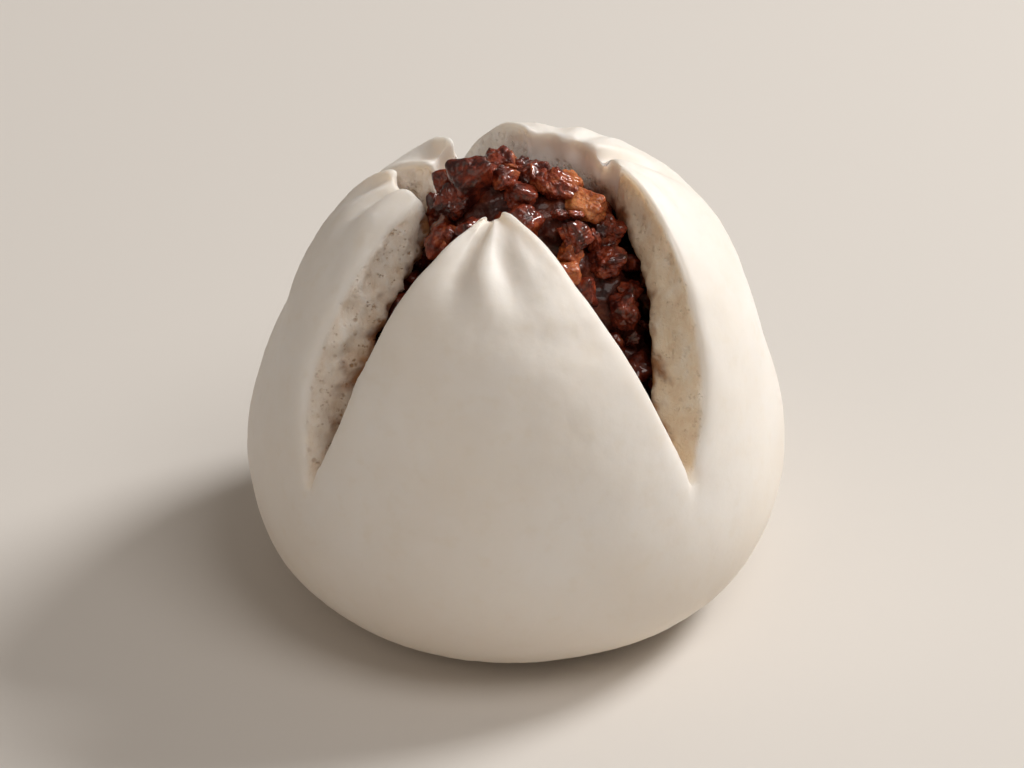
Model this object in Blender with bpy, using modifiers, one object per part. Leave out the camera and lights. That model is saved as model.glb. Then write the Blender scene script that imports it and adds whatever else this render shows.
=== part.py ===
"""A steamed char siu bun that has burst open at its crown, on its own, at real size.

The dough is one piece: a closed bun of revolution, gathered into pleats at the crown, whose wall is torn
along slits that run from the flank up to the crown. Between two slits lies a petal, and each petal leans
outwards, so that a slit is closed at its root and widest at the crown. The second piece is the roast pork
filling, a lumpy heap that fills the hollow and shows between the petals.

The origin is the middle of the bun's box, on the surface that the bun stands on, and +Z is up. Azimuths
are in degrees, from the front, -Y, towards the right, +X.
"""

import math

import bmesh
import bpy
from mathutils import Vector, noise
from mathutils.bvhtree import BVHTree

MM = 0.001

# The closed bun, before it burst.
BUN_RADIUS = 33.8 * MM
WIDEST_HEIGHT = 18.3 * MM
CROWN_HEIGHT = 60.5 * MM
FOOT_SQUARENESS = 3.0  # exponent of the superellipse below the widest height
CROWN_SQUARENESS = 1.68  # the same above it: 2 would be a round dome, and less is more pointed
FOOT_FLAT = 1.6 * MM  # how much of the round underside is pressed flat

# The hollow has the closed bun's own shape, smaller, and stands on the floor of dough.
HOLLOW_WIDTH = 0.75
HOLLOW_HEIGHT = 0.70
FLOOR_THICKNESS = 10.0 * MM

# Slits, going round from the front right: azimuth and height of the root.
SLITS = (
    (44.0, 26.0 * MM),
    (203.0, 38.0 * MM),
    (240.0, 43.0 * MM),
    (309.0, 23.0 * MM),
)
# Petals, each from the slit at the same place in the list to the next one. For its first side and for
# its last side: how far the tip has moved in X and in Y, how far it has sunk, and the radius of the gap
# that its blunt end leaves round the crown's middle.
PETALS = (
    ((11.0 * MM, 3.5 * MM, 2.0 * MM, 3.0 * MM), (2.5 * MM, 7.0 * MM, 2.0 * MM, 5.0 * MM)),  # right and back
    ((-5.5 * MM, 5.0 * MM, 3.0 * MM, 6.0 * MM), (-6.0 * MM, 4.0 * MM, 4.0 * MM, 7.0 * MM)),  # back left
    ((-9.5 * MM, 3.0 * MM, 4.5 * MM, 8.5 * MM), (-7.0 * MM, 2.5 * MM, 4.0 * MM, 6.0 * MM)),  # left
    ((-2.5 * MM, -8.5 * MM, 1.5 * MM, 1.6 * MM), (-2.5 * MM, -8.5 * MM, 1.5 * MM, 1.6 * MM)),  # front
)
LEAN_EASE = 0.10  # how gently a petal starts to lean above its root; 0 would be a kink
# How far, in degrees, each of a petal's sides has shrunk back from its slit, first and last side: at the
# skin, and at the hollow. Less than nothing is dough that reaches out, so that the torn face slants.
SKIN_SHRINK = ((4.5, 3.0), (3.0, 3.0), (3.0, 6.0), (4.5, 1.0))
HOLLOW_SHRINK = ((-8.0, -2.0), (-2.0, -2.0), (-2.0, -7.0), (6.0, 3.0))
SHRINK_SPREAD = 16.0  # degrees of petal beside a slit that take up the shrinking
SHRINK_RISE = 0.35  # share of the way from root to crown over which it comes in

# Pleats: azimuth, depth of the groove, and half its width in degrees.
PLEATS = (
    (-42.0, 0.9 * MM, 9.0),
    (-16.0, 2.0 * MM, 9.0),
    (12.0, 0.8 * MM, 9.0),
    (62.0, 0.9 * MM, 9.0),
    (86.0, 1.0 * MM, 9.0),
    (138.0, 1.0 * MM, 9.0),
    (112.0, 3.2 * MM, 9.0),
    (162.0, 1.2 * MM, 9.0),
    (186.0, 0.9 * MM, 9.0),
    (232.0, 1.3 * MM, 9.0),
    (264.0, 1.5 * MM, 9.0),
)
PLEAT_DEEPEST = 6.0 * MM  # distance from the crown's middle
PLEAT_LENGTH = 26.0 * MM
PLEAT_INWARDS, PLEAT_DOWNWARDS = 0.4, 0.9  # the way a groove cuts, as shares of its depth

# The filling. It fills the hollow and swells into the slits, and its top is a dome.
FILLING_CENTRE = Vector((-1.0 * MM, 3.0 * MM, 32.0 * MM))
FILLING_SWELL = 1.12  # as a share of the closed hollow's radius
DOME_FOOT, DOME_TOP = 38.0 * MM, 58.5 * MM
DOME_RADIUS = 18.0 * MM
FILLING_GAP = 0.5 * MM
REACH_STEP = 0.25 * MM
CONE_RAYS = 8
CONE_SLOPE = 0.17  # about as wide as the sphere's own faces
LUMP_SIZE = 6.0 * MM
LUMP_DEPTH = 4.0 * MM
SMOOTHING_PASSES = 1

COLUMN_ANGLE = 10.0
ROOT_ROW = 8  # the row of points that passes through every slit's root
ROWS = 15
PROFILE_STEPS = 720
FILLING_SEGMENTS = 30
FILLING_RINGS = 18

DOUGH_COLOUR = (0.86, 0.80, 0.70, 1.0)
FILLING_COLOUR = (0.16, 0.035, 0.018, 1.0)


def mix(a, b, share):
    return a + (b - a) * share


def smooth_step(x):
    x = min(1.0, max(0.0, x))
    return x * x * (3.0 - 2.0 * x)


def outwards(azimuth):
    """The level unit vector that points away from the axis at an azimuth."""
    a = math.radians(azimuth)
    return Vector((math.sin(a), -math.cos(a), 0.0))


def profile(latitude):
    """Radius and height of the closed bun at a latitude from -90, the foot's middle, to 90, the crown."""
    a = math.radians(latitude)
    power = 2.0 / (FOOT_SQUARENESS if latitude < 0.0 else CROWN_SQUARENESS)
    across = BUN_RADIUS * abs(math.cos(a)) ** power
    along = abs(math.sin(a)) ** power
    if latitude < 0.0:
        return across, max(0.0, WIDEST_HEIGHT - (WIDEST_HEIGHT + FOOT_FLAT) * along)
    return across, WIDEST_HEIGHT + (CROWN_HEIGHT - WIDEST_HEIGHT) * along


def measured_profile():
    """The profile's points from foot to crown, each as its distance along the profile, radius and height."""
    points = [profile(-90.0 + 180.0 * k / PROFILE_STEPS) for k in range(PROFILE_STEPS + 1)]
    table = [(0.0, *points[0])]
    for before, after in zip(points, points[1:]):
        table.append((table[-1][0] + math.dist(before, after), *after))
    return table


PROFILE = measured_profile()
PROFILE_LENGTH = PROFILE[-1][0]


def on_profile(distance):
    """Radius and height at a distance along the profile from the foot's middle."""
    for before, after in zip(PROFILE, PROFILE[1:]):
        if after[0] >= distance:
            share = (distance - before[0]) / max(after[0] - before[0], 1e-9)
            return mix(before[1], after[1], share), mix(before[2], after[2], share)
    return PROFILE[-1][1:]


def petal_sides(petal):
    """The slits on a petal's two sides, with the second one's azimuth past the first one's."""
    first, last = SLITS[petal], SLITS[(petal + 1) % len(SLITS)]
    turn = 360.0 if last[0] <= first[0] else 0.0
    return first, (last[0] + turn, last[1])


def petal_columns(petal):
    first, last = petal_sides(petal)
    return round((last[0] - first[0]) / COLUMN_ANGLE)


def distance_to(height):
    """Distance along the profile from the foot's middle to a height on the bun's side."""
    return next(distance for distance, _, z in PROFILE if z >= height)


def pleat_depth(azimuth, to_crown):
    """How far the skin is drawn in by the pleats at an azimuth and a distance from the crown's middle."""
    rise = smooth_step(to_crown / PLEAT_DEEPEST)
    fade = 1.0 - smooth_step((to_crown - PLEAT_DEEPEST) / (PLEAT_LENGTH - PLEAT_DEEPEST))
    depth = 0.0
    for centre, groove, half_width in PLEATS:
        apart = (azimuth - centre + 180.0) % 360.0 - 180.0
        depth += groove * math.exp(-((apart / half_width) ** 2))
    return depth * (0.4 + 0.6 * rise) * fade


def shrunk_azimuth(petal, azimuth, above_root, shrink):
    """Where an azimuth on a petal has gone to, when its sides have shrunk back from their slits."""
    (first, _), (last, _) = petal_sides(petal)
    rise = smooth_step(above_root / SHRINK_RISE)
    from_first = shrink[petal][0] * math.exp(-(azimuth - first) / SHRINK_SPREAD)
    from_last = shrink[petal][1] * math.exp(-(last - azimuth) / SHRINK_SPREAD)
    return azimuth + rise * (from_first - from_last)


def wall_pair(petal, column, row):
    """The points on the outer skin and on the hollow's skin at a petal's column and row."""
    share = column / petal_columns(petal)
    azimuth, root = (mix(*sides, share) for sides in zip(*petal_sides(petal)))
    move_x, move_y, sunk, gap = (mix(*sides, share) for sides in zip(*PETALS[petal]))
    if row <= ROOT_ROW:
        distance = distance_to(root) * row / ROOT_ROW
    else:
        distance = mix(distance_to(root), PROFILE_LENGTH - gap, (row - ROOT_ROW) / (ROWS - ROOT_ROW))
    radius, height = on_profile(distance)
    above_root = max(0.0, (height - root) / (CROWN_HEIGHT - root))

    pleat = pleat_depth(azimuth, PROFILE_LENGTH - distance)
    outer = outwards(shrunk_azimuth(petal, azimuth, above_root, SKIN_SHRINK))
    outer *= radius - PLEAT_INWARDS * pleat
    outer.z = height - PLEAT_DOWNWARDS * pleat
    inner = outwards(shrunk_azimuth(petal, azimuth, above_root, HOLLOW_SHRINK))
    inner *= radius * HOLLOW_WIDTH
    inner.z = FLOOR_THICKNESS + height * HOLLOW_HEIGHT

    lean = above_root**2 * (1.0 + LEAN_EASE) / (above_root + LEAN_EASE)
    moved = Vector((move_x, move_y, -sunk)) * lean
    return outer + moved, inner + moved


def build_dough():
    """The dough's coarse cage: two skins, outer and inner, joined by strips where the wall is torn."""
    cage = bmesh.new()
    pairs = {}

    def pair(petal, column, row):
        """Both skins' vertices there. Petals share those of a slit's column up to the slit's root."""
        if row == 0:
            key = "foot"
        elif row <= ROOT_ROW and column == petal_columns(petal):
            key = ((petal + 1) % len(SLITS), 0, row)
        else:
            key = (petal, column, row)
        if key not in pairs:
            pairs[key] = [cage.verts.new(point) for point in wall_pair(petal, column, row)]
        return pairs[key]

    def face(corners):
        cage.faces.new(dict.fromkeys(corners))

    for petal in range(len(PETALS)):
        columns = petal_columns(petal)
        for column in range(columns):
            for row in range(ROWS):
                corners = [
                    pair(petal, column, row),
                    pair(petal, column + 1, row),
                    pair(petal, column + 1, row + 1),
                    pair(petal, column, row + 1),
                ]
                face([outer for outer, _ in corners])
                face([inner for _, inner in reversed(corners)])
            left, right = pair(petal, column, ROWS), pair(petal, column + 1, ROWS)
            face([left[0], right[0], right[1], left[1]])
        for row in range(ROOT_ROW, ROWS):
            low, high = pair(petal, 0, row), pair(petal, 0, row + 1)
            face([low[0], high[0], high[1], low[1]])
            low, high = pair(petal, columns, row), pair(petal, columns, row + 1)
            face([high[0], low[0], low[1], high[1]])

    mesh = bpy.data.meshes.new("bun_dough")
    cage.to_mesh(mesh)
    cage.free()
    mesh.shade_smooth()
    dough = bpy.data.objects.new("bun_dough", mesh)
    rounding = dough.modifiers.new("rounding", "SUBSURF")
    rounding.levels = rounding.render_levels = 1
    return dough


def evaluated_tree(obj):
    """The object's evaluated faces as a tree that rays can be cast at, and its highest and lowest corner."""
    bpy.context.view_layer.update()
    graph = bpy.context.evaluated_depsgraph_get()
    tree = BVHTree.FromObject(obj, graph)
    corners = [Vector(corner) for corner in obj.evaluated_get(graph).bound_box]
    return tree, corners


def closed_radius(height):
    """Radius of the closed bun at a height above its foot."""
    if height < WIDEST_HEIGHT:
        share, power = (WIDEST_HEIGHT - height) / (WIDEST_HEIGHT + FOOT_FLAT), FOOT_SQUARENESS
    else:
        share, power = (height - WIDEST_HEIGHT) / (CROWN_HEIGHT - WIDEST_HEIGHT), CROWN_SQUARENESS
    return BUN_RADIUS * max(0.0, 1.0 - share**power) ** (1.0 / power)


def inside_heap(point):
    """Whether a point lies within the outline that the filling would have with no dough round it."""
    if not FLOOR_THICKNESS <= point.z < DOME_TOP:
        return False
    hollow = closed_radius((point.z - FLOOR_THICKNESS) / HOLLOW_HEIGHT) * HOLLOW_WIDTH
    rise = max(0.0, (point.z - DOME_FOOT) / (DOME_TOP - DOME_FOOT))
    dome = DOME_RADIUS * math.sqrt(1.0 - rise**2)
    limit = hollow * FILLING_SWELL if point.z < DOME_FOOT else dome
    return (point.xy - FILLING_CENTRE.xy * rise).length <= limit


def heap_reach(direction):
    """How far the filling reaches from its middle along a unit vector, with no dough round it."""
    reach = 0.0
    while inside_heap(FILLING_CENTRE + direction * (reach + REACH_STEP)):
        reach += REACH_STEP
    return reach


def room(tree, direction):
    """Distance from the filling's middle to the nearest dough in a narrow cone round a unit vector."""
    side = direction.orthogonal().normalized()
    up = direction.cross(side)
    rays = [direction]
    for k in range(CONE_RAYS):
        turn = math.tau * k / CONE_RAYS
        rays.append((direction + CONE_SLOPE * (math.cos(turn) * side + math.sin(turn) * up)).normalized())
    distances = [tree.ray_cast(FILLING_CENTRE, ray)[3] for ray in rays]
    return min((distance for distance in distances if distance is not None), default=math.inf)


def build_filling(dough):
    """A sphere drawn out to the hollow's skin, or to the heap's own outline where the bun is open."""
    bpy.ops.mesh.primitive_uv_sphere_add(
        segments=FILLING_SEGMENTS, ring_count=FILLING_RINGS, radius=1.0, location=(0.0, 0.0, 0.0)
    )
    filling = bpy.context.object
    filling.name = filling.data.name = "char_siu_filling"
    tree, _ = evaluated_tree(dough)
    vertices = filling.data.vertices
    directions = [vertex.co.normalized() for vertex in vertices]
    reaches = []
    for direction in directions:
        reach = heap_reach(direction)
        reach += LUMP_DEPTH * noise.noise((FILLING_CENTRE + direction * reach) / LUMP_SIZE)
        reaches.append(min(reach, room(tree, direction) - FILLING_GAP))
    # Spikes are drawn in to the mean of the points next to them, so nothing moves towards the dough.
    beside = [[] for _ in vertices]
    for one, other in filling.data.edge_keys:
        beside[one].append(other)
        beside[other].append(one)
    for _ in range(SMOOTHING_PASSES):
        means = [sum(reaches[k] for k in near) / len(near) for near in beside]
        reaches = [min(pair) for pair in zip(reaches, means)]
    for vertex, direction, reach in zip(vertices, directions, reaches):
        vertex.co = FILLING_CENTRE + direction * reach
    filling.data.shade_smooth()
    return filling


def finish(obj, colour, roughness):
    material = bpy.data.materials.new(obj.name)
    material.use_nodes = True
    shader = material.node_tree.nodes["Principled BSDF"]
    shader.inputs["Base Color"].default_value = colour
    shader.inputs["Roughness"].default_value = roughness
    shader.inputs["Metallic"].default_value = 0.0
    obj.data.materials.append(material)


def main():
    for old in list(bpy.data.objects):
        bpy.data.objects.remove(old)
    bun = bpy.data.collections.new("char_siu_bun")
    bpy.context.scene.collection.children.link(bun)
    dough = build_dough()
    bun.objects.link(dough)
    filling = build_filling(dough)
    for holder in filling.users_collection:
        holder.objects.unlink(filling)
    bun.objects.link(filling)
    finish(dough, DOUGH_COLOUR, 0.6)
    finish(filling, FILLING_COLOUR, 0.3)

    _, corners = evaluated_tree(dough)
    middle = (Vector(map(min, zip(*corners))) + Vector(map(max, zip(*corners)))) / 2.0
    for obj in (dough, filling):
        obj.location -= Vector((middle.x, middle.y, 0.0))


main()
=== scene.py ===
"""Looks of the burst char siu bun: steamed dough with torn, open-crumbed slits, over glazed diced pork."""

import math
import random

import bmesh
import bpy
import numpy as np
from mathutils import Euler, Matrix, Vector, noise
from mathutils.bvhtree import BVHTree


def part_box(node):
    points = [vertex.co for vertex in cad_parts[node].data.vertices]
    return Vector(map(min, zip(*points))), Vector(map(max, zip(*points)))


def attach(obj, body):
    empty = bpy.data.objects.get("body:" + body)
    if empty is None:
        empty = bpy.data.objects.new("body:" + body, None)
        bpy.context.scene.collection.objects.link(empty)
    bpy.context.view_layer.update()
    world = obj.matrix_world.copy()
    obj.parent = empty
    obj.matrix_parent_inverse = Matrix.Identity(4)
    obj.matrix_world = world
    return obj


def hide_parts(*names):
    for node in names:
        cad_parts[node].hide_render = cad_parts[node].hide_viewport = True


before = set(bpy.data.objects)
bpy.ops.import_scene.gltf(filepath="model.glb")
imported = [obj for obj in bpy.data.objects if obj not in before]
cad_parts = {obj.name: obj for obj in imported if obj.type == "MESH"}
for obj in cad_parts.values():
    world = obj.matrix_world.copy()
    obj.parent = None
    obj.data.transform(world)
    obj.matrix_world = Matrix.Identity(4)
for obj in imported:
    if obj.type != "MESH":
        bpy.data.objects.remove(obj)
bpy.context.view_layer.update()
MM = 0.001

# ---------------------------------------------------------------- the dough's form, as the CAD has it
BUN_RADIUS, WIDEST_HEIGHT, CROWN_HEIGHT = 33.8 * MM, 18.3 * MM, 60.5 * MM
FOOT_SQUARENESS, CROWN_SQUARENESS, FOOT_FLAT = 3.0, 1.68, 1.6 * MM
HOLLOW_WIDTH, HOLLOW_HEIGHT, FLOOR_THICKNESS = 0.75, 0.70, 10.0 * MM
# Azimuth of each slit, in degrees from the front towards +X, and the height of its root.
SLITS = ((44.0, 26.0 * MM), (203.0, 38.0 * MM), (240.0, 43.0 * MM), (309.0, 23.0 * MM))
# At each petal's first and last side, in mm: tip moved in X and in Y, tip sunk, radius of the crown's gap.
PETALS = (
    ((11.0, 3.5, 2.0, 3.0), (2.5, 7.0, 2.0, 5.0)),  # right and back
    ((-5.5, 5.0, 3.0, 6.0), (-6.0, 4.0, 4.0, 7.0)),  # back left
    ((-9.5, 3.0, 4.5, 8.5), (-7.0, 2.5, 4.0, 6.0)),  # left
    ((-2.5, -8.5, 1.5, 1.6), (-2.5, -8.5, 1.5, 1.6)),  # front
)
LEAN_EASE = 0.10  # how gently a petal starts to lean above its root
RAGGED_GAP, RAGGED_GAP_WAVES = 0.16, 6.0  # how much the crown's gap varies along a petal, and how often
# The skin shrinks back from each petal's first and last side, and the hollow reaches out, in degrees.
SKIN_SHRINK = ((4.5, 3.0), (3.0, 3.0), (3.0, 6.0), (4.5, 1.0))
HOLLOW_SHRINK = ((-8.0, -2.0), (-2.0, -2.0), (-2.0, -7.0), (6.0, 3.0))
SHRINK_FADE, SHRINK_GROWS = 16.0, 0.35  # degrees from the side, and share of the slit's height
# Broad pleats, as the CAD has them: azimuth, depth in mm, half width in degrees.
BROAD_PLEATS = (
    (-42.0, 0.9, 9.0), (-20.0, 1.2, 9.0), (12.0, 0.8, 9.0), (62.0, 0.9, 9.0), (86.0, 1.0, 9.0),
    (112.0, 3.2, 9.0), (138.0, 1.0, 9.0), (162.0, 1.2, 9.0), (186.0, 0.9, 9.0), (232.0, 1.3, 9.0),
    (264.0, 1.5, 9.0),
)  # fmt: skip
PLEAT_RISE, PLEAT_LENGTH = 6.0 * MM, 20.0 * MM  # from the crown: deepest there, and gone that much further
PLEAT_IN, PLEAT_DOWN = 0.4, 0.9  # share of its depth that a pleat moves the skin inwards and down
# Sharp pleats, finer than the CAD's: azimuth, depth in mm, half width in PLEAT_WIDTHs, and end in mm from
# the crown.
SHARP_PLEATS = (
    (-26.0, 0.9, 8.0, 19.0), (-52.0, 0.5, 6.0, 17.0), (6.0, 0.6, 8.0, 20.0), (27.0, 0.35, 6.0, 16.0),
    (58.0, 0.5, 6.0, 16.0), (78.0, 0.6, 6.0, 19.0), (96.0, 0.5, 5.0, 15.0), (113.0, 1.0, 5.0, 17.0),
    (131.0, 0.5, 6.0, 20.0), (150.0, 0.8, 5.0, 18.0), (171.0, 0.6, 6.0, 21.0), (190.0, 0.5, 6.0, 16.0),
    (222.0, 0.6, 7.0, 17.0), (256.0, 0.8, 6.0, 22.0), (276.0, 0.9, 6.0, 20.0), (293.0, 0.4, 6.0, 16.0),
)  # fmt: skip
COLUMN_ANGLE, ROOT_ROW, ROWS = 10.0, 7, 18
PLUG_ROW = 5  # the hollow's skin ends here, out of sight under the filling
RIM = (0.24, 0.62)  # where the torn strip between the two skins has loops of its own
CROWN_TORN = (0.05, 0.55)  # how torn those loops are along the pinched crown, which kept more of its skin


def mix(a, b, share):
    return a + (b - a) * share


def smooth_step(x):
    x = min(1.0, max(0.0, x))
    return x * x * (3.0 - 2.0 * x)


def outwards(azimuth):
    a = math.radians(azimuth)
    return Vector((math.sin(a), -math.cos(a), 0.0))


def profile(latitude):
    a = math.radians(latitude)
    power = 2.0 / (FOOT_SQUARENESS if latitude < 0.0 else CROWN_SQUARENESS)
    across = BUN_RADIUS * abs(math.cos(a)) ** power
    along = abs(math.sin(a)) ** power
    if latitude < 0.0:
        return across, max(0.0, WIDEST_HEIGHT - (WIDEST_HEIGHT + FOOT_FLAT) * along)
    return across, WIDEST_HEIGHT + (CROWN_HEIGHT - WIDEST_HEIGHT) * along


def measured_profile():
    points = [profile(-90.0 + 0.25 * k) for k in range(721)]
    table = [(0.0, *points[0])]
    for before, after in zip(points, points[1:]):
        table.append((table[-1][0] + math.dist(before, after), *after))
    return table


PROFILE = measured_profile()
PROFILE_LENGTH = PROFILE[-1][0]


def on_profile(distance):
    for before, after in zip(PROFILE, PROFILE[1:]):
        if after[0] >= distance:
            share = (distance - before[0]) / max(after[0] - before[0], 1e-9)
            return mix(before[1], after[1], share), mix(before[2], after[2], share)
    return PROFILE[-1][1:]


def distance_to(height):
    return next(distance for distance, _, z in PROFILE if z >= height)


def petal_sides(petal):
    first, last = SLITS[petal], SLITS[(petal + 1) % len(SLITS)]
    turn = 360.0 if last[0] <= first[0] else 0.0
    return first, (last[0] + turn, last[1])


def petal_columns(petal):
    first, last = petal_sides(petal)
    return round((last[0] - first[0]) / COLUMN_ANGLE)


def pleats(azimuth, to_crown):
    rise = smooth_step(to_crown / PLEAT_RISE)
    fade = 1.0 - smooth_step((to_crown - PLEAT_RISE) / PLEAT_LENGTH)
    depth = sum(
        groove * MM * math.exp(-((((azimuth - centre + 180.0) % 360.0 - 180.0) / half) ** 2))
        for centre, groove, half in BROAD_PLEATS
    )
    return depth * (0.4 + 0.6 * rise) * fade


def shrunk(petal, azimuth, above_root, shrink):
    (first, _), (last, _) = petal_sides(petal)
    from_first = shrink[petal][0] * math.exp(-(azimuth - first) / SHRINK_FADE)
    from_last = shrink[petal][1] * math.exp(-(last - azimuth) / SHRINK_FADE)
    return outwards(azimuth + smooth_step(above_root / SHRINK_GROWS) * (from_first - from_last))


def wall(petal, column, row):
    """Outer point, hollow point, and where the outer point was in the closed bun."""
    share = column / petal_columns(petal)
    azimuth, root = (mix(*sides, share) for sides in zip(*petal_sides(petal)))
    move_x, move_y, sunk, gap = (mix(*sides, share) * MM for sides in zip(*PETALS[petal]))
    gap *= 1.0 + RAGGED_GAP * noise.noise(Vector((petal * 7.0, share * RAGGED_GAP_WAVES, 0.5)))
    if row <= ROOT_ROW:
        distance = distance_to(root) * row / ROOT_ROW
    else:
        distance = mix(distance_to(root), PROFILE_LENGTH - gap, (row - ROOT_ROW) / (ROWS - ROOT_ROW))
    radius, height = on_profile(distance)
    above_root = max(0.0, (height - root) / (CROWN_HEIGHT - root))
    pleat = pleats(azimuth, PROFILE_LENGTH - distance)
    outer = shrunk(petal, azimuth, above_root, SKIN_SHRINK) * (radius - PLEAT_IN * pleat)
    outer.z = height - PLEAT_DOWN * pleat
    inner = shrunk(petal, azimuth, above_root, HOLLOW_SHRINK) * (radius * HOLLOW_WIDTH)
    inner.z = FLOOR_THICKNESS + height * HOLLOW_HEIGHT
    lean = above_root**2 * (1.0 + LEAN_EASE) / (above_root + LEAN_EASE)
    moved = Vector((move_x, move_y, -sunk)) * lean
    closed = outwards(azimuth) * radius
    closed.z = height
    return outer + moved, inner + moved, closed


def dough_cage():
    """Both skins and the torn strips between them.

    Each point also says how torn it is, how deep it lies in the wall, and its place in the closed bun.
    """
    cage = bmesh.new()
    torn = cage.verts.layers.float.new("torn")
    deep = cage.verts.layers.float.new("deep")
    closed_at = cage.verts.layers.float_vector.new("closed")
    made = {}

    def stack(petal, column, row):
        """The vertices through the wall there, outer skin first."""
        if row == 0:
            key = "foot"
        elif row <= ROOT_ROW and column == petal_columns(petal):
            key = ((petal + 1) % len(SLITS), 0, row)
        else:
            key = (petal, column, row)
        if key not in made:
            outer, inner, closed = wall(petal, column, row)
            points = [(outer, 0.0, 0.0), (inner, 1.0, 1.0)]
            side = row > ROOT_ROW and column in (0, petal_columns(petal))
            if side or row == ROWS:
                rim_torn = (1.0, 1.0) if side else CROWN_TORN
                points[1:1] = [
                    (outer.lerp(inner, share), value, share) for share, value in zip(RIM, rim_torn)
                ]
            if row < PLUG_ROW:
                points = points[:1]
            verts = []
            for point, value, depth in points:
                vert = cage.verts.new(point)
                vert[torn] = value
                vert[deep] = depth
                vert[closed_at] = closed
                verts.append(vert)
            made[key] = verts
        return made[key]

    def face(corners):
        corners = list(dict.fromkeys(corners))
        if len(corners) > 2:
            cage.faces.new(corners)

    def strip(low, high):
        """Faces of a torn strip between two stacks. At a slit's root the stack has no loops of its own."""
        if len(low) == len(high):
            for k in range(len(low) - 1):
                face([low[k], high[k], high[k + 1], low[k + 1]])
        else:
            middle = len(high) // 2
            face([low[0], high[0], high[1]])
            for k in range(1, middle):
                face([low[0], high[k], high[k + 1]])
            face([low[0], high[middle], low[-1]])
            for k in range(middle, len(high) - 1):
                face([low[-1], high[k], high[k + 1]])

    for petal in range(len(PETALS)):
        columns = petal_columns(petal)
        for column in range(columns):
            for row in range(ROWS):
                around = [(column, row), (column + 1, row), (column + 1, row + 1), (column, row + 1)]
                corners = [stack(petal, *place) for place in around]
                face([pile[0] for pile in corners])
                if row >= PLUG_ROW:
                    face([pile[-1] for pile in reversed(corners)])
            strip(stack(petal, column, ROWS), stack(petal, column + 1, ROWS))
        for row in range(ROOT_ROW, ROWS):
            strip(stack(petal, 0, row), stack(petal, 0, row + 1))
            low, high = stack(petal, columns, row), stack(petal, columns, row + 1)
            before = set(cage.faces)
            strip(low, high)
            for made_face in set(cage.faces) - before:
                made_face.normal_flip()
    plug = [stack(p, c, PLUG_ROW)[-1] for p in range(len(PETALS)) for c in range(petal_columns(p))]
    centre = cage.verts.new(sum((v.co for v in plug), Vector()) / len(plug))
    centre[torn] = centre[deep] = 1.0
    for one, other in zip(plug, plug[1:] + plug[:1]):
        face([one, other, centre])
    bmesh.ops.recalc_face_normals(cage, faces=cage.faces)
    mesh = bpy.data.meshes.new("dough")
    cage.to_mesh(mesh)
    cage.free()
    return mesh


# ---------------------------------------------------------------- small helpers
def add_object(name, mesh):
    obj = bpy.data.objects.new(name, mesh)
    bpy.context.scene.collection.objects.link(obj)
    return obj


def with_modifier_applied(obj):
    """Gives the object the mesh that its modifier makes, and removes the modifier."""
    graph = bpy.context.evaluated_depsgraph_get()
    mesh = bpy.data.meshes.new_from_object(obj.evaluated_get(graph), depsgraph=graph)
    obj.modifiers.clear()
    obj.data = mesh
    return mesh


def tree_of(mesh):
    return BVHTree.FromPolygons(
        [v.co.copy() for v in mesh.vertices], [tuple(p.vertices) for p in mesh.polygons]
    )


def read(mesh, what, width):
    values = np.zeros(len(mesh.vertices) * width, np.float32)
    if what in ("co", "normal"):
        mesh.vertices.foreach_get(what, values)
    else:
        mesh.attributes[what].data.foreach_get("vector" if width == 3 else "value", values)
    return values.reshape(-1, width) if width > 1 else values


def write(mesh, name, values):
    attribute = mesh.attributes.get(name) or mesh.attributes.new(name, "FLOAT", "POINT")
    attribute.data.foreach_set("value", np.asarray(values, np.float32))


def move_points(mesh, co):
    mesh.vertices.foreach_set("co", co.ravel())
    mesh.update()
    mesh.shade_smooth()


def step(x, low, high):
    x = np.clip((x - low) / (high - low), 0.0, 1.0)
    return x * x * (3.0 - 2.0 * x)


def field(points, size, octaves=1, stretch=(1.0, 1.0, 1.0), shift=0.0):
    """Noise between about -1 and 1 at each point, of a size in metres."""
    scale = Vector(stretch) / size
    offset = Vector((shift, shift * 1.7, shift * 0.3))
    if octaves == 1:
        return np.array([noise.noise(Vector(p) * scale + offset) for p in points])
    return np.array([noise.fractal(Vector(p) * scale + offset, 0.9, 2.1, octaves) for p in points])


def pits(points, size, stretch=(1.0, 1.0, 1.0)):
    """1 at the middle of scattered cells of unlike widths, and 0 away from them."""
    scale = Vector(stretch) / size
    out = np.zeros(len(points))
    for k, p in enumerate(points):
        distances, feature = noise.voronoi(Vector(p) * scale)
        width = 0.24 + 0.34 * noise.cell(feature[0] * 3.1)
        out[k] = 1.0 - min(1.0, distances[0] / max(width, 0.05))
    return out


# ---------------------------------------------------------------- the filling's pieces
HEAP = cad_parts["char_siu_filling"]
HEAP_TREE = tree_of(HEAP.data)
DOUGH_TREE = tree_of(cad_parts["bun_dough"].data)
CORE_INSET, CORE_VOXEL = 1.9, 0.55 * MM  # how far in, in mm, and the size of its even mesh
CORE_LUMPS, CORE_MINCE = (0.9, 3.6 * MM), (0.75, 1.7 * MM)  # height in mm, and size


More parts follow.
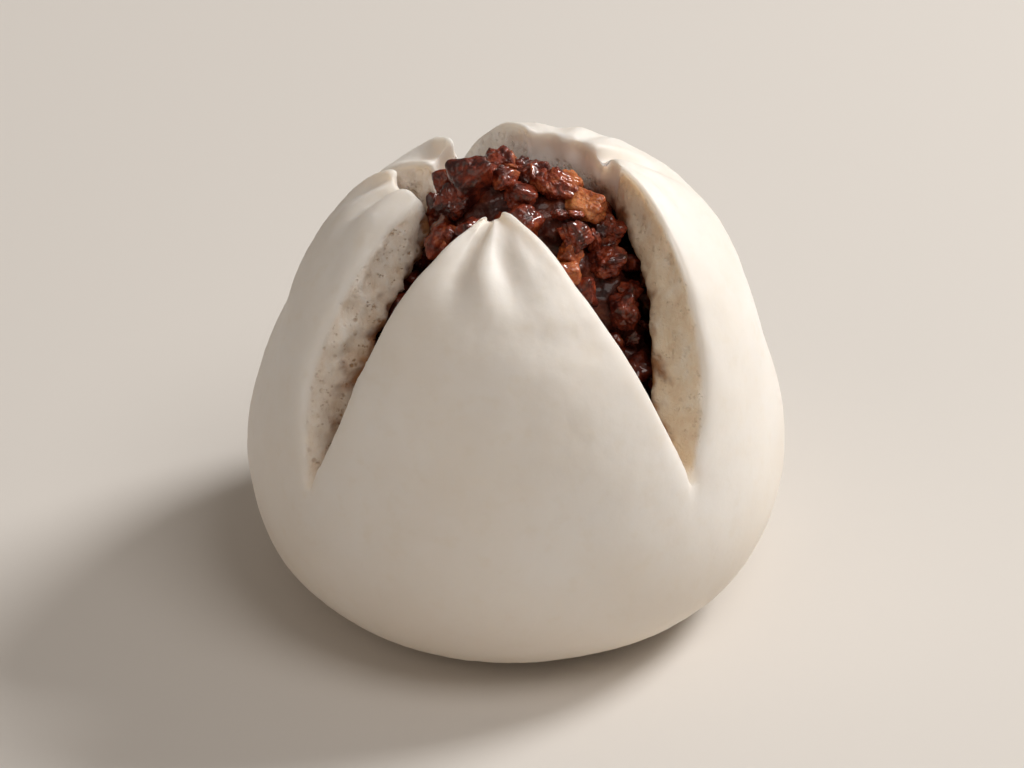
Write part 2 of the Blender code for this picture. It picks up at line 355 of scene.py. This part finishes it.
def make_core():
    """The sauce-bound mince under the dice: the CAD heap, a little smaller, with a lumpy wet surface."""
    mesh = HEAP.data.copy()
    mesh.name = "sauce_core"
    obj = add_object("sauce_core", mesh)
    bm = bmesh.new()
    bm.from_mesh(mesh)
    bmesh.ops.remove_doubles(bm, verts=bm.verts, dist=0.01 * MM)
    bm.normal_update()
    for vert in bm.verts:
        vert.co -= vert.normal * CORE_INSET * MM
    bm.to_mesh(mesh)
    bm.free()
    remesh = obj.modifiers.new("even", "REMESH")
    remesh.mode, remesh.voxel_size = "VOXEL", CORE_VOXEL
    fine = with_modifier_applied(obj)
    co, normal = read(fine, "co", 3), read(fine, "normal", 3)
    height = CORE_LUMPS[0] * field(co, CORE_LUMPS[1]) + CORE_MINCE[0] * field(co, CORE_MINCE[1], 3, shift=4.0)
    move_points(fine, co + normal * (height * MM)[:, None])
    return obj


# A piece of meat, in shares of its half size: its faces, slanting cuts, dents and fibres.
FACE_REACH, FARTHEST_CUT, SLANTING_CUTS = (0.85, 1.0), 1.05, 5
DENT, NICK, FIBRE, GRAIN = (0.22, 0.85), (0.17, 0.36), (0.09, 1.0), (0.06, 0.15)  # height, size
FIBRE_STRETCH = (1.1, 8.0, 8.0)
TAPER = 0.25


def chunk(rng, centre, sizes, turn, tone, subdivisions, sharpness, ragged=1.0, nearest_cut=0.78):
    """One piece of meat: a block cut by a few slanting planes, with soft dents and fibres along it."""
    bm = bmesh.new()
    bmesh.ops.create_icosphere(bm, subdivisions=subdivisions, radius=1.0)
    faces = [tuple(v.index for v in f.verts) for f in bm.faces]
    n = np.array([v.co.normalized() for v in bm.verts])
    bm.free()
    seed = Vector([rng.uniform(-50, 50) for _ in range(3)])
    planes = [(axis, sign) for axis in np.eye(3) for sign in (1.0, -1.0)]
    cuts = [axis * sign / rng.uniform(*FACE_REACH) for axis, sign in planes]
    for _ in range(SLANTING_CUTS):
        slant = np.array([rng.gauss(0, 1) for _ in range(3)])
        cuts.append(slant / np.linalg.norm(slant) / rng.uniform(nearest_cut, FARTHEST_CUT))
    reach = sum(np.maximum(0.0, n @ cut) ** sharpness for cut in cuts) ** (-1.0 / sharpness)
    dents = DENT[0] * field(n, DENT[1], shift=seed.x) + NICK[0] * field(n, NICK[1], shift=seed.y)
    fibres = FIBRE[0] * field(n, FIBRE[1], 1, FIBRE_STRETCH, seed.z)
    fibres += GRAIN[0] * field(n, GRAIN[1], shift=seed.x)
    reach *= 1.0 + ragged * (dents + fibres)
    local = n * reach[:, None]
    tapers = [rng.uniform(-TAPER, TAPER) for _ in range(2)]
    local[:, 1:] *= 1.0 + local[:, :1] * np.array(tapers)
    points = (local * np.array(sizes)) @ np.array(turn.to_matrix()).T + np.array(centre)
    return [Vector(p) for p in points], faces, [tone] * len(points)


def join(name, chunks):
    points, faces, tones = [], [], []
    for some_points, some_faces, some_tones in chunks:
        start = len(points)
        points += some_points
        faces += [tuple(start + k for k in face) for face in some_faces]
        tones += some_tones
    mesh = bpy.data.meshes.new(name)
    mesh.from_pydata(points, [], faces)
    mesh.update()
    mesh.shade_smooth()
    write(mesh, "tone", tones)
    return add_object(name, mesh)


HEAP_SHOWS_FROM = 26.0 * MM  # lower than this, no piece can be seen
SUNK_SHARE, WALL_SHARE = 0.45, 0.95  # of a piece's radius: how deep it sits, and how near the dough it comes
TRIES = 40  # places tried for each piece wanted


def heap_spots(rng, count, spacing, radii, taken):
    """Random places on the heap's skin, spaced apart and clear of the dough, each with a radius."""
    mesh = HEAP.data
    polygons = [p for p in mesh.polygons if p.center.z > HEAP_SHOWS_FROM and p.normal.z > -0.5]
    weights = np.cumsum([p.area for p in polygons])
    spots = []
    for _ in range(count * TRIES):
        if len(spots) >= count:
            break
        polygon = polygons[int(np.searchsorted(weights, rng.random() * weights[-1]))]
        corners = [mesh.vertices[k].co for k in polygon.vertices]
        a, b = rng.random(), rng.random()
        if a + b > 1.0:
            a, b = 1.0 - a, 1.0 - b
        point = corners[0] + (corners[1] - corners[0]) * a + (corners[2] - corners[0]) * b
        radius = rng.uniform(*radii) * MM
        centre = point - polygon.normal * radius * SUNK_SHARE
        nearest = DOUGH_TREE.find_nearest(centre)
        if nearest[3] < radius * WALL_SHARE:
            centre += (centre - nearest[0]).normalized() * (radius * WALL_SHARE - nearest[3])
        if any((centre - other).length < spacing * (radius + reach) for other, reach in taken):
            continue
        spots.append((centre, radius))
        taken.append((centre, radius))
    return spots


def random_turn(rng):
    return Euler([rng.uniform(0, math.tau) for _ in range(3)])


# Pieces that stand out: place in X and Y and how far the middle is under the heap's top, in mm; half sizes
# in mm; turn in degrees; tone; kind; and how ragged.
HERO_PIECES = (
    ((-5.6, -0.4, 0.5), (2.7, 2.4, 3.4), (12, -14, 20), 0.12, "lean", 0.4),
    ((-6.4, 5.6, 0.3), (2.4, 2.1, 2.0), (10, 30, 60), 0.62, "lean", 1.0),
    ((-9.0, 6.6, 1.0), (2.1, 2.3, 2.4), (40, 10, 15), 0.10, "lean", 1.0),
    ((-1.6, 9.0, 0.8), (2.3, 2.0, 1.8), (60, 25, 10), 0.45, "lean", 1.0),
    ((-2.2, 4.6, 0.9), (2.0, 2.3, 1.8), (25, 70, 40), 0.25, "lean", 1.0),
    ((2.2, 5.4, 0.9), (2.2, 2.0, 1.9), (70, 20, 80), 0.20, "lean", 1.0),
    ((4.6, 9.4, 0.0), (2.6, 2.1, 2.3), (15, 55, 35), 0.65, "lean", 1.0),
    ((8.2, 7.2, 0.6), (2.1, 1.9, 2.2), (25, 5, 70), 0.60, "lean", 1.0),
    ((6.0, 4.2, 0.4), (2.4, 1.9, 1.7), (35, 15, 20), 0.80, "fat", 0.8),
    ((9.8, 3.2, 0.7), (2.1, 2.4, 1.8), (5, 40, 50), 0.50, "lean", 1.0),
    ((1.8, 1.6, 1.0), (2.0, 1.8, 2.0), (55, 10, 35), 0.30, "lean", 1.0),
    ((4.9, 0.2, 0.7), (2.3, 1.9, 1.8), (30, 50, 10), 0.55, "lean", 1.0),
    ((8.2, -1.0, 0.3), (2.8, 1.9, 1.8), (20, 10, -25), 1.00, "fat", 0.8),
    ((10.9, -0.8, 0.8), (1.9, 2.1, 2.2), (65, 30, 15), 0.50, "lean", 1.0),
    ((-1.8, 0.4, 1.4), (1.8, 1.7, 1.6), (45, 35, 20), 0.05, "lean", 1.0),
    ((-7.6, -1.8, 1.0), (2.2, 1.9, 1.9), (15, 35, 70), 0.10, "lean", 1.0),
    ((11.4, -5.4, 0.9), (2.2, 1.8, 2.0), (10, 20, 30), 0.35, "lean", 1.0),
    ((7.6, -5.6, 0.9), (2.1, 1.9, 1.8), (50, 15, 60), 0.25, "lean", 1.0),
    ((13.4, -9.2, 0.9), (2.1, 1.8, 2.0), (35, 60, 30), 0.15, "lean", 1.0),
)
HERO_SHARPNESS, HERO_DETAIL = 9.0, 5
# Scattered pieces: how many, how far apart in shares of their radii, and radii in mm.
DICE, BITS = (100, 0.64, (1.3, 2.4)), (150, 0.56, (0.6, 1.3))
DICE_SQUASH, DICE_SHARPNESS, BIT_SQUASH, BIT_SHARPNESS = (0.75, 1.1), (7.0, 12.0), (0.5, 1.3), 12.0
BIT_RAGGED, BIT_NEAREST_CUT, DETAIL = 1.5, 0.6, 4
FAT_SHARE, FAT_TONES, LEAN_TONES, BIT_TONES = 0.2, (0.5, 1.0), (0.0, 0.6), (0.0, 0.8)


def make_pork():
    """The diced meat on the heap, joined into one piece for each kind."""
    rng = random.Random(20)
    kinds = {"lean": [], "fat": [], "bits": []}
    taken = []
    for (x, y, under), sizes, turn, tone, kind, ragged in HERO_PIECES:
        top = HEAP_TREE.ray_cast(Vector((x * MM, y * MM, 0.1)), Vector((0.0, 0.0, -1.0)))[0]
        middle = top - Vector((0.0, 0.0, under * MM))
        half = [s * MM for s in sizes]
        turned = Euler([math.radians(t) for t in turn])
        kinds[kind].append(chunk(rng, middle, half, turned, tone, HERO_DETAIL, HERO_SHARPNESS, ragged))
        taken.append((middle, max(half)))
    for centre, radius in heap_spots(rng, *DICE, taken):
        sizes = [radius * rng.uniform(*DICE_SQUASH) for _ in range(3)]
        kind = "fat" if rng.random() < FAT_SHARE else "lean"
        tone = rng.uniform(*(FAT_TONES if kind == "fat" else LEAN_TONES))
        turned, sharpness = random_turn(rng), rng.uniform(*DICE_SHARPNESS)
        kinds[kind].append(chunk(rng, centre, sizes, turned, tone, DETAIL, sharpness))
    for centre, radius in heap_spots(rng, *BITS, taken):
        sizes = [radius * rng.uniform(*BIT_SQUASH) for _ in range(3)]
        tone = rng.uniform(*BIT_TONES)
        shape = (random_turn(rng), tone, DETAIL, BIT_SHARPNESS, BIT_RAGGED, BIT_NEAREST_CUT)
        kinds["bits"].append(chunk(rng, centre, sizes, *shape))
    return {kind: join("pork_" + kind, chunks) for kind, chunks in kinds.items()}


# ---------------------------------------------------------------- the dough
SUBDIVISIONS = 3
SKIN_FADES, CRUMB_GROWS = (0.12, 0.45), (0.30, 0.75)  # along the way from skin, 0, to torn, 1
# Relief: height in mm, and size.
SWELLS, DIMPLES, GOOSE_SKIN = (0.34, 13.0 * MM), (0.17, 4.5 * MM), (0.045, 1.3 * MM)
LUMPS, CRUMBS = (0.75, 3.4 * MM), (0.42, 1.5 * MM)
PIT_DEPTH, LARGE_PIT, SMALL_PIT, SMALL_PIT_SHARE = 0.9, 2.3 * MM, 1.2 * MM, 0.7
SMOOTHER_SIDE = 0.45  # the right side tore less roughly than the left
UPPER, FOOT = (30.0 * MM, 52.0 * MM), (0.0, 4.0 * MM)  # heights between which dimples grow, and relief starts
WANDER, WANDER_WAVE = 2.5, 3.1 * MM  # how far the sharp pleats wander, in degrees, and how often
CROWN_CORE = 2.0 * MM  # nearer to the crown than this, they come no closer together
PLEAT_WIDTH, PLEAT_WIDENS = 0.16 * MM, 12.0 * MM
# Sauce on the torn faces: its reach, how patchy it is, and how it grows towards the foot of the heap, where
# the growth is partly painted shade.
STAIN_REACH, STAIN_START = 3.4 * MM, 1.5
STAIN_PATCHES, STAIN_LOW_AND_SHADE = (0.7, 2.4 * MM), (0.6, 46.0 * MM, 8.0 * MM)
BACK = (2.0 * MM, 12.0 * MM)  # Y between which the crumb turns from the front's tan to the back's white
LEFT = (-4.0 * MM, 8.0 * MM)  # -X between which it turns from the right's fine crumb to the left's coarse one


def sharp_grooves(closed):
    """Height in mm of the narrow pleats, each a wandering groove between two soft ridges."""
    crown = np.hypot(closed[:, 0], closed[:, 1])
    azimuth = np.degrees(np.arctan2(closed[:, 0], -closed[:, 1]))
    height = np.zeros(len(closed))
    for centre, depth, half, end in SHARP_PLEATS:
        apart = (azimuth - centre + 180.0) % 360.0 - 180.0
        wander = WANDER * np.sin(crown / WANDER_WAVE + centre)
        across = np.radians(apart + wander) * np.maximum(crown, CROWN_CORE)
        width = half * PLEAT_WIDTH * (0.6 + crown / PLEAT_WIDENS)
        fade = 1.0 - step(crown, 0.45 * end * MM, end * MM)
        ridge = np.exp(-((np.abs(across) - 1.9 * width) / (1.1 * width)) ** 2)
        height += depth * fade * (0.35 * ridge - np.exp(-((across / width) ** 2)))
    return height


def skin_relief(co, closed):
    """Height in mm of the skin's pleats and soft unevenness, which grows towards the crown."""
    soft = SWELLS[0] * field(co, SWELLS[1], shift=2.0)
    soft += DIMPLES[0] * field(co, DIMPLES[1], shift=8.0) * (0.3 + step(closed[:, 2], *UPPER))
    soft += GOOSE_SKIN[0] * field(co, GOOSE_SKIN[1], 2, shift=3.0)
    return sharp_grooves(closed) + soft * step(co[:, 2], *FOOT)


def crumb_relief(places, pit):
    """Height in mm of the torn crumb: lumps and flakes, less the pits."""
    crumb = LUMPS[0] * field(places, LUMPS[1], shift=5.0)
    crumb += CRUMBS[0] * field(places, CRUMBS[1], 3, (1.0, 1.0, 0.45), 6.0)
    return np.where(places[:, 0] < 0.0, 1.0, SMOOTHER_SIDE) * (crumb - PIT_DEPTH * pit)


def sauce_stain_and_shade(places, core):
    """From 0 to 1, how much sauce each place has: most next to the filling, in patches, and more low down,
    partly as painted shade.
    """
    heap = tree_of(core.data)
    patchy, size = STAIN_PATCHES
    more, below, over = STAIN_LOW_AND_SHADE
    near = np.array([heap.find_nearest(Vector(p))[3] for p in places])
    # Low down it grows: partly sauce, partly painted shade.
    low_down = np.clip((below - places[:, 2]) / over, 0.0, 1.0)
    blotch = field(places, size, 3, shift=9.0)
    return np.clip(STAIN_START + more * low_down - near / STAIN_REACH + patchy * blotch, 0.0, 1.0)


def make_dough(core):
    """The whole dough at full detail, with the attributes that its material reads."""
    obj = add_object("steamed_dough", dough_cage())
    rounding = obj.modifiers.new("rounding", "SUBSURF")
    rounding.levels = rounding.render_levels = SUBDIVISIONS
    mesh = with_modifier_applied(obj)
    low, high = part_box("bun_dough")
    co, normal = read(mesh, "co", 3), read(mesh, "normal", 3)
    middle = (co.min(0) + co.max(0)) / 2.0
    co[:, :2] += ((np.array(low) + np.array(high)) / 2.0 - middle)[:2]
    torn, deep, closed = read(mesh, "torn", 1), read(mesh, "deep", 1), read(mesh, "closed", 3)
    height = (1.0 - step(torn, *SKIN_FADES)) * skin_relief(co, closed)

    rough = step(torn, *CRUMB_GROWS)
    spots = np.nonzero(rough > 0.01)[0]
    places = co[spots]
    large = pits(places, LARGE_PIT, (1.0, 1.0, 0.6))
    pore, stain_and_shade = np.zeros(len(co)), np.zeros(len(co))
    pore[spots] = np.maximum(large, SMALL_PIT_SHARE * pits(places, SMALL_PIT))
    stain_and_shade[spots] = sauce_stain_and_shade(places, core)
    height[spots] += rough[spots] * crumb_relief(places, pore[spots])

    co += normal * (height * MM)[:, None]
    co[:, 2] = np.maximum(co[:, 2], 0.0)
    front = 1.0 - step(co[:, 1], *BACK)
    left = step(-co[:, 0], *LEFT)
    write(mesh, "torn", rough)
    write(mesh, "stain_and_shade", stain_and_shade * rough * (0.4 + 0.6 * front))
    # The material paints shade into these pores.
    write(mesh, "pore", pore * rough)
    write(mesh, "coarse", (0.08 + 0.92 * left) * (0.35 + 0.65 * front))
    write(mesh, "tan", front)
    write(mesh, "deep", step(deep, 0.25, 0.85))
    move_points(mesh, co)
    return obj


# ---------------------------------------------------------------- materials
SKIN_SHADES = ((0.86, 0.80, 0.725), (0.90, 0.865, 0.82))
# The skin's foot colour is painted warm shade, standing in for bounced light and shade, not the dough's own
# colour.
SKIN_FLECKS, SKIN_PAINTED_FOOT_SHADE = (0.83, 0.755, 0.65), (0.79, 0.68, 0.55)
# Crumb, each from its darkest streaks to its lightest: at the back, on the right, and on the left near the
# filling and near the skin; then its foot, darker partly from sauce damp and partly from painted shade, and
# the painted shade in its pores.
CRUMB_WHITE = ((0.89, 0.85, 0.80), (0.94, 0.915, 0.88), (0.95, 0.935, 0.91))
CRUMB_PALE = ((0.80, 0.61, 0.42), (0.88, 0.74, 0.56), (0.92, 0.83, 0.70))
CRUMB_BROWN = ((0.62, 0.44, 0.30), (0.83, 0.70, 0.57), (0.92, 0.86, 0.79))
CRUMB_BEIGE = ((0.82, 0.70, 0.59), (0.93, 0.84, 0.74), (0.95, 0.90, 0.84))
CRUMB_DAMP_AND_SHADE, CRUMB_PORE_SHADE = (0.58, 0.38, 0.23), (0.44, 0.26, 0.14)
STAIN_SHADES = ((0.13, 0.028, 0.008), (0.45, 0.19, 0.055))
LEAN = ((0.045, 0.004, 0.002), (0.27, 0.036, 0.010), (0.64, 0.19, 0.065))
FAT = ((0.15, 0.025, 0.008), (0.45, 0.105, 0.026), (0.70, 0.27, 0.09))
SAUCE_SHADES = ((0.030, 0.005, 0.003), (0.085, 0.014, 0.006), (0.21, 0.05, 0.018))
FLOOR_SHADES = ((0.71, 0.675, 0.635), (0.73, 0.695, 0.655))


class Nodes:
    """A short way to write a node material: every call adds a node and returns its output."""

    def __init__(self, name):
        self.material = bpy.data.materials.new(name)
        self.material.use_nodes = True
        self.tree = self.material.node_tree
        self.shader = self.tree.nodes["Principled BSDF"]
        self.place = self.add("ShaderNodeNewGeometry").outputs["Position"]
        self.height = self.add("ShaderNodeSeparateXYZ", {0: self.place}).outputs["Z"]

    def plug(self, socket, value):
        if isinstance(value, bpy.types.NodeSocket):
            self.tree.links.new(value, socket)
        else:
            socket.default_value = value

    def add(self, kind, inputs=(), **settings):
        node = self.tree.nodes.new(kind)
        for key, value in settings.items():
            setattr(node, key, value)
        for key, value in dict(inputs).items():
            self.plug(node.inputs[key], value)
        return node

    def attribute(self, name):
        return self.add("ShaderNodeAttribute", attribute_name=name).outputs["Fac"]

    def noise(self, size, detail=3.0, roughness=0.55, stretch=(1.0, 1.0, 1.0)):
        scaled = self.add("ShaderNodeVectorMath", {0: self.place, 1: stretch}, operation="MULTIPLY")
        inputs = {"Vector": scaled.outputs[0], "Scale": 1.0 / size, "Detail": detail, "Roughness": roughness}
        return self.add("ShaderNodeTexNoise", inputs).outputs["Fac"]

    def cells(self, size):
        inputs = {"Vector": self.place, "Scale": 1.0 / size}
        return self.add("ShaderNodeTexVoronoi", inputs, feature="F1").outputs["Distance"]

    def ramp(self, value, positions, colours):
        node = self.add("ShaderNodeValToRGB", {0: value})
        points = node.color_ramp.elements
        while len(points) < len(positions):
            points.new(0.5)
        for point, position, colour in zip(points, positions, colours):
            point.position = position
            point.color = (*colour, 1.0)
        return node.outputs["Color"]

    def range(self, value, low, high, to_low=0.0, to_high=1.0):
        inputs = {0: value, 1: low, 2: high, 3: to_low, 4: to_high}
        return self.add("ShaderNodeMapRange", inputs, interpolation_type="SMOOTHSTEP").outputs[0]

    def math(self, operation, a, b):
        return self.add("ShaderNodeMath", {0: a, 1: b}, operation=operation).outputs[0]

    def blend(self, share, a, b):
        node = self.add("ShaderNodeMix", {0: share}, data_type="RGBA", blend_type="MIX")
        for key, value in ((6, a), (7, b)):
            plain = not isinstance(value, bpy.types.NodeSocket)
            self.plug(node.inputs[key], (*value, 1.0) if plain else value)
        return node.outputs[2]

    def bump(self, height, distance, strength=1.0, normal=None):
        inputs = {"Height": height, "Distance": distance, "Strength": strength}
        if normal is not None:
            inputs["Normal"] = normal
        return self.add("ShaderNodeBump", inputs).outputs[0]

    def finish(self, **inputs):
        for key, value in inputs.items():
            self.plug(self.shader.inputs[key.replace("_", " ")], value)
        return self.material


def skin_colour(m):
    """Ivory with faint warm flecks, and painted warm shade towards the foot that stands in for bounced light
    and shade.
    """
    skin = m.ramp(m.noise(14.0 * MM, 4.0), (0.30, 0.70), SKIN_SHADES)
    skin = m.blend(m.range(m.noise(2.6 * MM, 5.0), 0.52, 0.72, 0.0, 0.30), skin, SKIN_FLECKS)
    # Painted warm shade, strongest at the foot and gone at 28 mm high.
    return m.blend(m.range(m.height, 3.0 * MM, 28.0 * MM, 0.55, 0.0), skin, SKIN_PAINTED_FOOT_SHADE)


def scattered_pores(m, size, edge, patch_size, patch):
    """Round holes of one size, only in patches."""
    holes = m.range(m.cells(size), *edge, 1.0, 0.0)
    return m.math("MULTIPLY", holes, m.range(m.noise(patch_size), *patch))


def crumb_colour(m, small_pores):
    """White at the back, tan on the right, and from beige to brown on the left, with painted shade in its
    pores and lower down.
    """
    pore, coarse, tan, deep = (m.attribute(name) for name in ("pore", "coarse", "tan", "deep"))
    streaks = m.noise(2.0 * MM, 6.0, 0.65, (1.0, 1.0, 0.35))
    white, pale, beige = (
        m.ramp(streaks, (0.30, 0.50, 0.72), shades) for shades in (CRUMB_WHITE, CRUMB_PALE, CRUMB_BEIGE)
    )
    brown = m.ramp(streaks, (0.30, 0.48, 0.72), CRUMB_BROWN)
    # Darker brown lower down: partly sauce damp, partly painted shade.
    brown = m.blend(m.range(m.height, 28.0 * MM, 54.0 * MM, 0.55, 0.0), brown, CRUMB_DAMP_AND_SHADE)
    crumb = m.blend(coarse, m.blend(tan, white, pale), m.blend(deep, beige, brown))
    coarse = m.math("MULTIPLY", coarse, m.range(deep, 0.0, 0.6, 0.45, 1.0))
    # Painted shade in the pores: the pits and small holes are darkened, most on the coarse left side.
    shadowed = m.math("MULTIPLY", m.range(pore, 0.35, 0.95, 0.0, 0.55), coarse)
    dark = m.math("MAXIMUM", shadowed, m.math("MULTIPLY", small_pores, coarse))
    return m.blend(dark, crumb, CRUMB_PORE_SHADE)


def dough_material():
    m = Nodes("steamed_wheat_dough")
    torn, stain_and_shade = m.attribute("torn"), m.attribute("stain_and_shade")
    # These holes both dent the crumb through the bump and darken it as painted shade.
    large_pores = scattered_pores(m, 1.05 * MM, (0.14, 0.38), 2.8 * MM, (0.50, 0.62))
    fine_pores = scattered_pores(m, 0.55 * MM, (0.12, 0.36), 1.7 * MM, (0.47, 0.60))
    small_pores = m.math("MAXIMUM", large_pores, m.math("MULTIPLY", fine_pores, 0.8))
    colour = m.blend(torn, skin_colour(m), crumb_colour(m, small_pores))
    sauce = m.ramp(m.noise(1.6 * MM, 4.0), (0.35, 0.65), STAIN_SHADES)
    # Sauce stain, which low down also carries painted shade.
    colour = m.blend(m.range(stain_and_shade, 0.20, 1.0, 0.0, 0.94), colour, sauce)
    smooth_skin = m.bump(m.noise(0.8 * MM, 4.0), 0.04 * MM, 0.5)
    flakes = m.noise(0.7 * MM, 5.0, 0.7, (1.0, 1.0, 0.5))
    grain = m.math("SUBTRACT", flakes, m.math("MULTIPLY", small_pores, 0.9))
    rough_crumb = m.bump(m.math("MULTIPLY", grain, torn), 0.5 * MM, 1.0, smooth_skin)
    roughness = m.range(torn, 0.0, 1.0, 0.50, 0.82)
    roughness = m.math("SUBTRACT", roughness, m.math("MULTIPLY", m.range(stain_and_shade, 0.4, 1.0), 0.42))
    m.shader.subsurface_method = "BURLEY"
    return m.finish(
        Base_Color=colour, Roughness=roughness, Normal=rough_crumb, Subsurface_Weight=0.6,
        Subsurface_Radius=(1.0, 0.75, 0.52), Subsurface_Scale=3.0 * MM, Specular_IOR_Level=0.45,
    )  # fmt: skip


def pork_material(name, shades, translucency):
    """Glazed meat in three shades, mottled along its fibres, and darker low down, partly where sauce soaked
    it and partly as painted shade.
    """
    m = Nodes(name)
    dark = shades[0]
    mottle = m.noise(2.0 * MM, 6.0, 0.62)
    patches = m.math("MULTIPLY", m.range(mottle, 0.30, 0.68), 0.55)
    value = m.math("ADD", m.math("MULTIPLY", m.attribute("tone"), 0.42), patches)
    colour = m.ramp(value, (0.20, 0.58, 1.0), shades)
    fibres = m.noise(0.75 * MM, 5.0, 0.7, (1.0, 0.35, 1.0))
    colour = m.blend(m.range(fibres, 0.50, 0.66, 0.0, 0.55), colour, dark)
    # Darker low down: partly sauce soaking, partly painted shade.
    soaked_and_shaded = m.range(m.height, 36.0 * MM, 50.0 * MM, 0.62, 0.0)
    colour = m.blend(soaked_and_shaded, colour, tuple(0.6 * c for c in dark))
    height = m.math("ADD", m.math("MULTIPLY", fibres, 0.6), m.noise(1.3 * MM, 5.0))
    glaze = m.bump(m.noise(1.1 * MM, 2.0), 0.16 * MM, 0.6)
    return m.finish(
        Base_Color=colour, Roughness=m.range(mottle, 0.35, 0.65, 0.34, 0.58),
        Normal=m.bump(height, 0.5 * MM, 0.95), Coat_Normal=glaze,
        Subsurface_Weight=translucency, Subsurface_Radius=(1.0, 0.35, 0.15), Subsurface_Scale=1.6 * MM,
        Coat_Weight=0.9, Coat_Roughness=0.05, Specular_IOR_Level=0.2,
    )  # fmt: skip


def sauce_material():
    m = Nodes("char_siu_sauce")
    colour = m.ramp(m.noise(2.6 * MM, 6.0, 0.6), (0.36, 0.55, 0.75), SAUCE_SHADES)
    height = m.math("ADD", m.noise(1.3 * MM, 5.0), m.noise(3.1 * MM, 2.0))
    return m.finish(
        Base_Color=colour, Roughness=0.45, Normal=m.bump(height, 0.6 * MM, 0.9), Specular_IOR_Level=0.25,
        Coat_Weight=0.3, Coat_Roughness=0.12,
    )  # fmt: skip


def floor_material():
    m = Nodes("plain_floor")
    return m.finish(Base_Color=m.ramp(m.noise(0.35, 2.0), (0.3, 0.7), FLOOR_SHADES), Roughness=0.75)


# ---------------------------------------------------------------- putting it together
def dress(obj, material, node):
    obj.data.materials.clear()
    obj.data.materials.append(material)
    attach(obj, "root")
    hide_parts(node)


core = make_core()
pork = make_pork()
dough = make_dough(core)
dress(dough, dough_material(), "bun_dough")
dress(core, sauce_material(), "char_siu_filling")
dress(pork["lean"], pork_material("lean_pork", LEAN, 0.0), "char_siu_filling")
dress(pork["fat"], pork_material("fat_pork", FAT, 0.3), "char_siu_filling")
dress(pork["bits"], pork_material("pork_bits", LEAN, 0.0), "char_siu_filling")

FLOOR_SIZE = 6.0
bpy.ops.mesh.primitive_grid_add(x_subdivisions=4, y_subdivisions=4, size=FLOOR_SIZE, location=(0.0, 0.0, 0.0))
floor = bpy.context.object
floor.name = "floor"
floor.data.materials.append(floor_material())


def look_at(obj, target):
    obj.rotation_euler = (Vector(target) - obj.location).to_track_quat("-Z", "Y").to_euler()


LIT_MIDDLE = (0.0, 0.0, 0.03)
# Soft round lights: name, place, width, power in watts, colour.
LIGHTS = (
    ("key", (0.62, 0.34, 0.62), 0.30, 7.0, (1.0, 0.985, 0.965)),
    ("fill", (-0.75, -0.70, 0.70), 0.9, 1.4, (1.0, 0.86, 0.73)),
    ("above", (0.45, -0.40, 1.15), 0.7, 4.2, (1.0, 0.95, 0.90)),
)
WORLD_COLOUR, WORLD_STRENGTH = (1.0, 0.89, 0.78, 1.0), 0.17
for name, place, size, power, colour in LIGHTS:
    light = bpy.data.lights.new(name, "AREA")
    light.shape, light.size, light.energy, light.color = "DISK", size, power, colour
    lamp = add_object(name, light)
    lamp.location = place
    look_at(lamp, LIT_MIDDLE)
world = bpy.data.worlds.new("studio")
world.use_nodes = True
background = world.node_tree.nodes["Background"]
background.inputs["Color"].default_value = WORLD_COLOUR
background.inputs["Strength"].default_value = WORLD_STRENGTH
bpy.context.scene.world = world
bpy.context.scene.view_settings.view_transform = "Standard"

CAMERA_PLACE, CAMERA_TARGET = (0.0214, -1.5904, 1.0927), (-0.0005, 0.0, 0.0265)
SENSOR_WIDTH, LENS = 36.0, 172.6 * 3.15  # in mm; the second factor is how much closer the bun is framed
camera = add_object("camera", bpy.data.cameras.new("camera"))
camera.location = CAMERA_PLACE
camera.data.lens, camera.data.sensor_width = LENS, SENSOR_WIDTH
camera.data.clip_start, camera.data.clip_end = 0.05, 20.0
look_at(camera, CAMERA_TARGET)
bpy.context.scene.camera = camera
